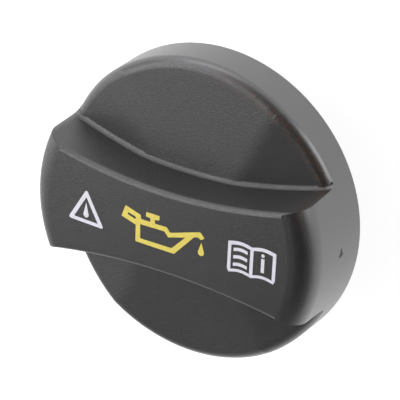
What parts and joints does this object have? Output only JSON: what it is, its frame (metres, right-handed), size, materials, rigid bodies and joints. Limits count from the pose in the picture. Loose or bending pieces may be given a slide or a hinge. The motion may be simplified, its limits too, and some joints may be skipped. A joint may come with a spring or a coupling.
{
  "type": "oil filler cap",
  "caption": "Round oil filler cap with a waisted grip bar across its full width, a bayonet plug under the skirt and a ring seal.",
  "frame": {"origin": "on the cap's axis, in the plane of the plug's foot, which the cap stands on", "axes": "+Z along the cap's axis out of the engine, grip up; +X along the grip bar; +Y across it"},
  "size_m": [0.075, 0.075, 0.0428],
  "materials": {
    "shell": "satin black, fine spark-eroded grain",
    "plug": "smooth moulded",
    "seal": "matt elastomer"
  },
  "bodies": {
    "root": {"cap_shell": "shell", "lock_plug": "plug", "seal_ring": "seal"}
  },
  "joints": []
}
